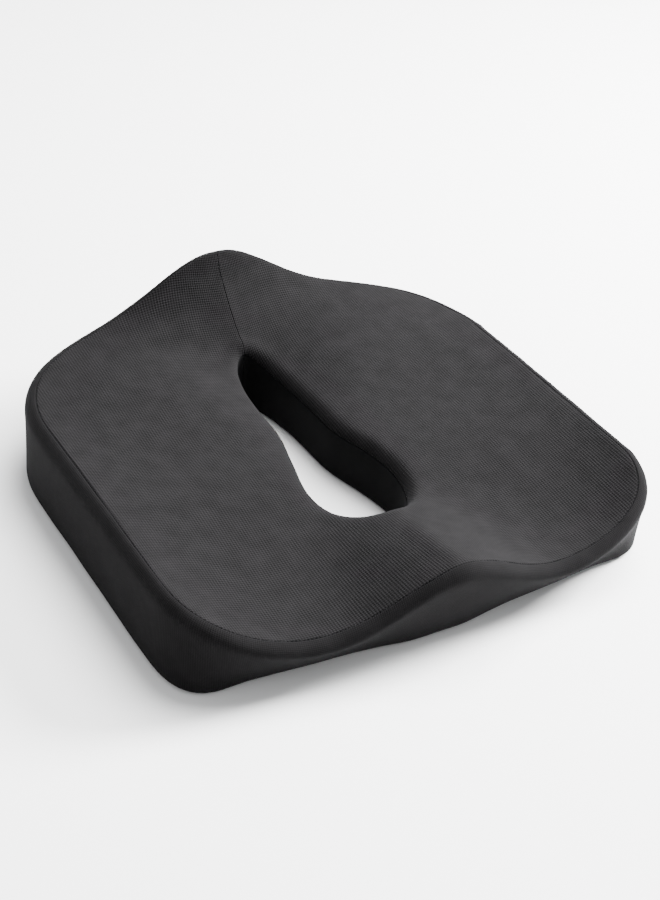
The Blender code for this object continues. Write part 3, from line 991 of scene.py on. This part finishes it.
def softened(node, name, finish, body, radius, segments=3):
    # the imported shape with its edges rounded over
    bm = bmesh.new()
    bm.from_mesh(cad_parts[node].data)
    bmesh.ops.remove_doubles(bm, verts=bm.verts, dist=1e-6)
    bmesh.ops.dissolve_limit(bm, angle_limit=math.radians(2), verts=bm.verts, edges=bm.edges)
    sharp = [edge for edge in bm.edges if edge.calc_face_angle(0) > math.radians(35)]
    bmesh.ops.bevel(bm, geom=sharp, offset=radius, segments=segments, affect="EDGES", profile=0.5,
                    material=-1, clamp_overlap=True)
    mesh = toMesh(bm, name)
    if "custom_normal" in mesh.attributes:
        mesh.attributes.remove(mesh.attributes["custom_normal"])
    mesh.set_sharp_from_angle(angle=math.radians(40))
    return addPiece(name, mesh, finish, body, [node])


def windCoil(name, box, side, shift):
    low, high = box
    wire = zipLook["wire"]
    inner, outer = zipLook["headGap"], abs((high if side > 0 else low).z - zipHeight)
    reach, thick = (outer - inner) / 2 - wire, (high.x - low.x) / 2 - wire
    middle, depth = zipHeight + side * (inner + outer) / 2, (low.x + high.x) / 2
    turns = int((high.y - low.y - 2 * wire) / zipLook["pitch"]) - 1
    curve = bpy.data.curves.new(name, "CURVE")
    curve.dimensions = "3D"
    curve.bevel_depth = wire
    curve.bevel_resolution = 1
    curve.use_fill_caps = True
    spline = curve.splines.new("POLY")
    spline.points.add(turns * zipLook["turnPoints"])
    for index, point in enumerate(spline.points):
        share = index / zipLook["turnPoints"]
        turn = share * math.tau
        y = low.y + wire + (share + shift) * zipLook["pitch"]
        point.co = (depth + thick * math.sin(turn), y, middle - side * reach * math.cos(turn), 1)
    wound = bpy.data.objects.new(name + "Curve", curve)
    bpy.context.scene.collection.objects.link(wound)
    bpy.context.view_layer.update()
    mesh = bpy.data.meshes.new_from_object(wound.evaluated_get(bpy.context.evaluated_depsgraph_get()))
    bpy.data.objects.remove(wound)
    bm = bmesh.new()
    bm.from_mesh(mesh)
    bmesh.ops.remove_doubles(bm, verts=bm.verts, dist=1e-6)
    bmesh.ops.recalc_face_normals(bm, faces=bm.faces)
    piece = toMesh(bm, name)
    addPiece(name, piece, "nylon", replaces=["zip_coil_" + name[7:].lower()])


def weaveTape(name, side):
    # a woven strip with a rolled selvedge beside the coil
    low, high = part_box("zip_tape_" + name.lower())
    inner = zipHeight + side * zipLook["headGap"]
    outer = (high if side > 0 else low).z
    bm = bmesh.new()
    place = Matrix.Translation(((low.x + high.x) / 2, (low.y + high.y) / 2, (inner + outer) / 2))
    size = Matrix.Diagonal((high.x - low.x, high.y - low.y, abs(outer - inner), 1))
    bmesh.ops.create_cube(bm, size=1, matrix=place @ size)
    bmesh.ops.bevel(bm, geom=bm.edges[:], offset=zipLook["tapeEdge"], segments=2, affect="EDGES",
                    profile=0.5, material=-1)
    bmesh.ops.subdivide_edges(bm, edges=[e for e in bm.edges if e.calc_length() > 0.1], cuts=120)
    for vert in bm.verts:  # the tape ripples slightly between its stitches
        away = min(vert.co.y - low.y, high.y - vert.co.y)
        ripple = zipLook["tapeRipple"] * math.sin(vert.co.y * zipLook["rippleTurn"])
        vert.co.x += ripple * min(away / 0.004, 1.0)
    addPiece("zipTape" + name, toMesh(bm, "zipTape" + name), "tape",
             replaces=["zip_tape_" + name.lower()])


def stitchZip():
    # one row of topstitching along each folded edge of the strips, and a guard strip behind the zip
    bm, stitch = bmesh.new(), bead("topstitch", 6, 4)
    y = np.linspace(stripEnds[0] + 0.002, stripEnds[1] - 0.002, 80)
    for edge, side in zip(slitEdges, (-1, 1)):
        height = edge + side * thread["topstitch"]
        path = np.stack([np.full_like(y, -wallX), y, np.full_like(y, height)], axis=-1)
        stitchRun(bm, stitch, path, np.tile([-1.0, 0.0, 0.0], (len(y), 1)))
    addPiece("zipTopstitching", toMesh(bm, "zipTopstitching"), "thread")
    path = np.stack([np.full_like(y, -wallX), y, np.full_like(y, zipHeight)], axis=-1)
    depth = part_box("zip_slider")[1].x + zipLook["guardGap"] + wallX
    reach = (slitEdges[1] - slitEdges[0]) / 2 + zipLook["guardLap"]
    layAllowance("zipGuard", path, np.tile([-1.0, 0.0, 0.0], (len(y), 1)), reach, depth)


for part, side in (("Upper", 1), ("Lower", -1)):
    weaveTape(part, side)
    windCoil("zipCoil" + part, coilBoxes[(side + 1) // 2], side, (side + 1) / 4)
    softened("zip_stop_rear_" + part.lower(), "zipStopRear" + part, "zinc", "cushion",
             zipLook["soften"]["stopRear"])
softened("zip_stop_front", "zipStopFront", "zinc", "cushion", zipLook["soften"]["stopFront"])
softened("zip_slider", "zipSlider", "zinc", "slider", zipLook["soften"]["slider"])
softened("zip_pull", "zipPull", "zinc", "pull", zipLook["soften"]["pull"])
stitchZip()
print("zip made")


foamLook = {
    "stations": 256,
    "depth": 0.0036,  # under the cloth's outer face
    "rows": {"lining": 12, "top": 44, "band": 20, "base": 20},
    # the channel that the zip lies in: half run and half height with their slopes, and its depth
    "channelRun": (0.114, 0.006),
    "channelHeight": (0.0145, 0.005),
    "channelDepth": 0.0030,
    "channelSide": -0.15,
}


def castFoam():
    angles = np.linspace(0, math.tau, foamLook["stations"] + 1)
    grids = []
    for panel, rows in foamLook["rows"].items():
        lines = panelLines(angles, panel)
        places = lengths(lines)[-1] * np.linspace(0, 1, rows, endpoint=False)[:, None]
        grids.append(resample(lines, places))
    points = np.concatenate(grids + [grids[0][:1]])
    normals = gridNormals(points, True)
    normals[0] = normals[-1] = (normals[0] + normals[-1]) / 2
    depth = np.full(points.shape[:2], foamLook["depth"])
    (run, runSlope), (height, heightSlope) = foamLook["channelRun"], foamLook["channelHeight"]
    inRun = smooth(np.clip((run - abs(points[..., 1] - sum(stripEnds) / 2)) / runSlope + 1, 0, 1))
    inHeight = smooth(np.clip((height - abs(points[..., 2] - zipHeight)) / heightSlope + 1, 0, 1))
    depth += foamLook["channelDepth"] * inRun * inHeight * (points[..., 0] < foamLook["channelSide"])
    mesh = gridMesh("foamCore", points - normals * depth[..., None], points[..., :2], True, True)
    addPiece("foamCore", mesh, "foam", replaces=["foam_core"])


castFoam()
print("foam cast")


view = {
    "azimuth": 146.17,
    "elevation": 35.09,
    "roll": 6.13,
    "distance": 1.3211,
    "target": (0.0, 0.0, 0.0365),
    "lens": 64.84,
    "sensor": 36,
    "aim": (0.00762, 0.00747),  # right and up of the target, in metres at its distance
}


def viewAxes():
    turn, tilt, roll = (math.radians(view[key]) for key in ("azimuth", "elevation", "roll"))
    back = Vector((math.sin(turn) * math.cos(tilt), -math.cos(turn) * math.cos(tilt), math.sin(tilt)))
    level = Vector((math.cos(turn), math.sin(turn), 0))
    upright = back.cross(level)
    right = level * math.cos(roll) + upright * math.sin(roll)
    return right, upright * math.cos(roll) - level * math.sin(roll), back


def placeCamera():
    right, up, back = viewAxes()
    aim = Vector(view["target"]) + right * view["aim"][0] + up * view["aim"][1]
    data = bpy.data.cameras.new("camera")
    data.lens = view["lens"]
    data.sensor_width = view["sensor"]
    camera = bpy.data.objects.new("camera", data)
    bpy.context.scene.collection.objects.link(camera)
    turned = Matrix((right, up, back)).transposed().to_4x4()
    camera.matrix_world = Matrix.Translation(aim + back * view["distance"]) @ turned
    bpy.context.scene.camera = camera


lamps = {
    # right, towards the viewer and up of the cushion in metres; size; watts
    "window": ((1.6, -0.9, 1.2), 0.8, 330),
    "overhead": ((0.5, -0.7, 2.2), 1.8, 250),
    "fill": ((-1.5, 1.7, 1.1), 1.6, 4),
}


room = {"air": "#f6f7f8", "airStrength": 1.1, "floorRadius": 6.0}


def lightStage():
    turn = math.radians(view["azimuth"])
    level = Vector((math.cos(turn), math.sin(turn), 0))
    near = Vector((math.sin(turn), -math.cos(turn), 0))
    for name, (place, size, watts) in lamps.items():
        data = bpy.data.lights.new(name, "AREA")
        data.shape = "DISK"
        data.size = size
        data.energy = watts
        lamp = bpy.data.objects.new(name, data)
        bpy.context.scene.collection.objects.link(lamp)
        lamp.location = level * place[0] + near * place[1] + Vector((0, 0, place[2]))
        lamp.rotation_euler = lamp.location.to_track_quat("Z", "Y").to_euler()
    world = bpy.data.worlds.new("studio")
    world.use_nodes = True
    backdrop = world.node_tree.nodes["Background"]
    backdrop.inputs["Color"].default_value = linear(room["air"])
    backdrop.inputs["Strength"].default_value = room["airStrength"]
    bpy.context.scene.world = world


def layFloor():
    bm = bmesh.new()
    bmesh.ops.create_circle(bm, cap_ends=True, segments=96, radius=room["floorRadius"])
    mesh = bpy.data.meshes.new("floor")
    bm.to_mesh(mesh)
    bm.free()
    floor = bpy.data.objects.new("floor", mesh)
    bpy.context.scene.collection.objects.link(floor)
    mesh.materials.append(finishes["paper"])


placeCamera()
lightStage()
layFloor()
print("stage set")
